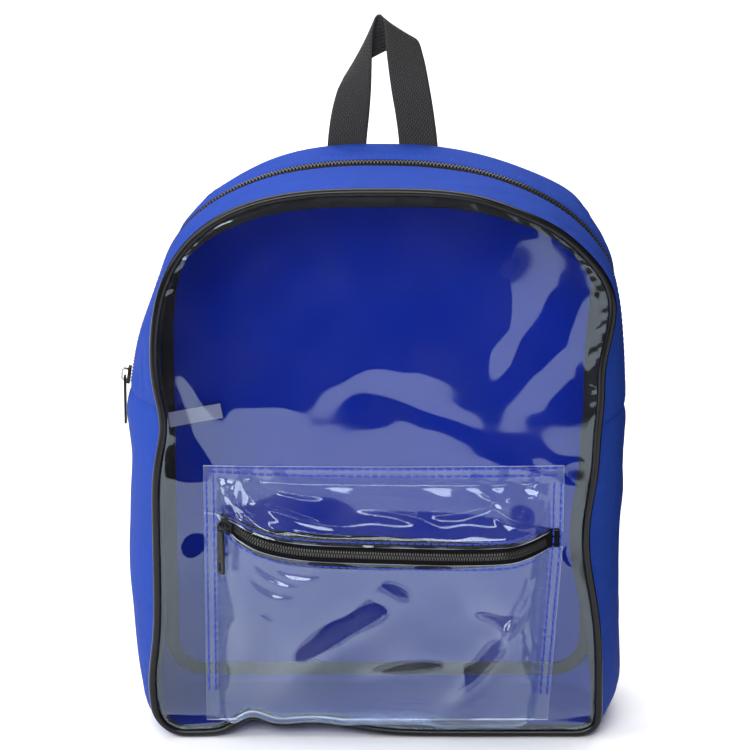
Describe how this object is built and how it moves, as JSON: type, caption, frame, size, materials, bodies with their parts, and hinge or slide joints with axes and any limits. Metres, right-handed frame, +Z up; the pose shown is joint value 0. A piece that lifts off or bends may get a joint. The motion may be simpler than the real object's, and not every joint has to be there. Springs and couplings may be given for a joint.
{
  "type": "clear backpack",
  "caption": "Upright cloth backpack with a clear front panel, a clear zipped front pocket, piped front seam, zipped top, webbing haul loop and padded shoulder straps.",
  "frame": {"origin": "centre of the bounding box's bottom face, on the ground under the bag", "axes": "+Z up, the clear front faces -Y, +X to the right as seen from the front"},
  "size_m": [0.3226, 0.167, 0.4495],
  "materials": {
    "blue_cloth": "plain woven polyester with a slight sheen",
    "clear_pvc": "clear, glossy, slightly wavy",
    "piping": "satin",
    "binding_tape": "matt ribbed tape",
    "zipper_coil": "satin coil on woven tape",
    "slider_metal": "satin black, worn bright on the crown",
    "black_webbing": "ribbed webbing",
    "black_plastic": "satin",
    "white_label": "matt ribbon"
  },
  "bodies": {
    "bag": {"lower_gusset": "blue_cloth", "top_gusset_front": "blue_cloth", "top_gusset_back": "blue_cloth", "main_zipper": "zipper_coil", "main_slider": "slider_metal", "front_piping": "piping", "front_panel": "clear_pvc", "front_binding": "binding_tape", "back_panel": "blue_cloth", "back_binding": "binding_tape", "label": "white_label", "pocket_top": "clear_pvc", "pocket_zipper": "zipper_coil", "pocket_body": "clear_pvc", "pocket_slider": "slider_metal", "haul_loop": "black_webbing", "shoulder_strap_left": "blue_cloth", "shoulder_strap_right": "blue_cloth", "lock_loop_left": "black_webbing", "lock_loop_right": "black_webbing", "ladder_lock_left": "black_plastic", "ladder_lock_right": "black_plastic", "strap_webbing_left": "black_webbing", "strap_webbing_right": "black_webbing"},
    "main_pull": {"main_pull": "slider_metal"},
    "pocket_pull": {"pocket_pull": "slider_metal"}
  },
  "joints": [
    {"name": "main_pull_swing", "type": "hinge", "parent": "bag", "child": "main_pull", "pos_m": [-0.15854, 0.00651, 0.22386], "axis": [0, 1, 0], "range_deg": [0, 150]},
    {"name": "pocket_pull_swing", "type": "hinge", "parent": "bag", "child": "pocket_pull", "pos_m": [-0.09493, -0.07193, 0.14874], "axis": [-0.622, 0.783, 0], "range_deg": [0, 150]}
  ]
}
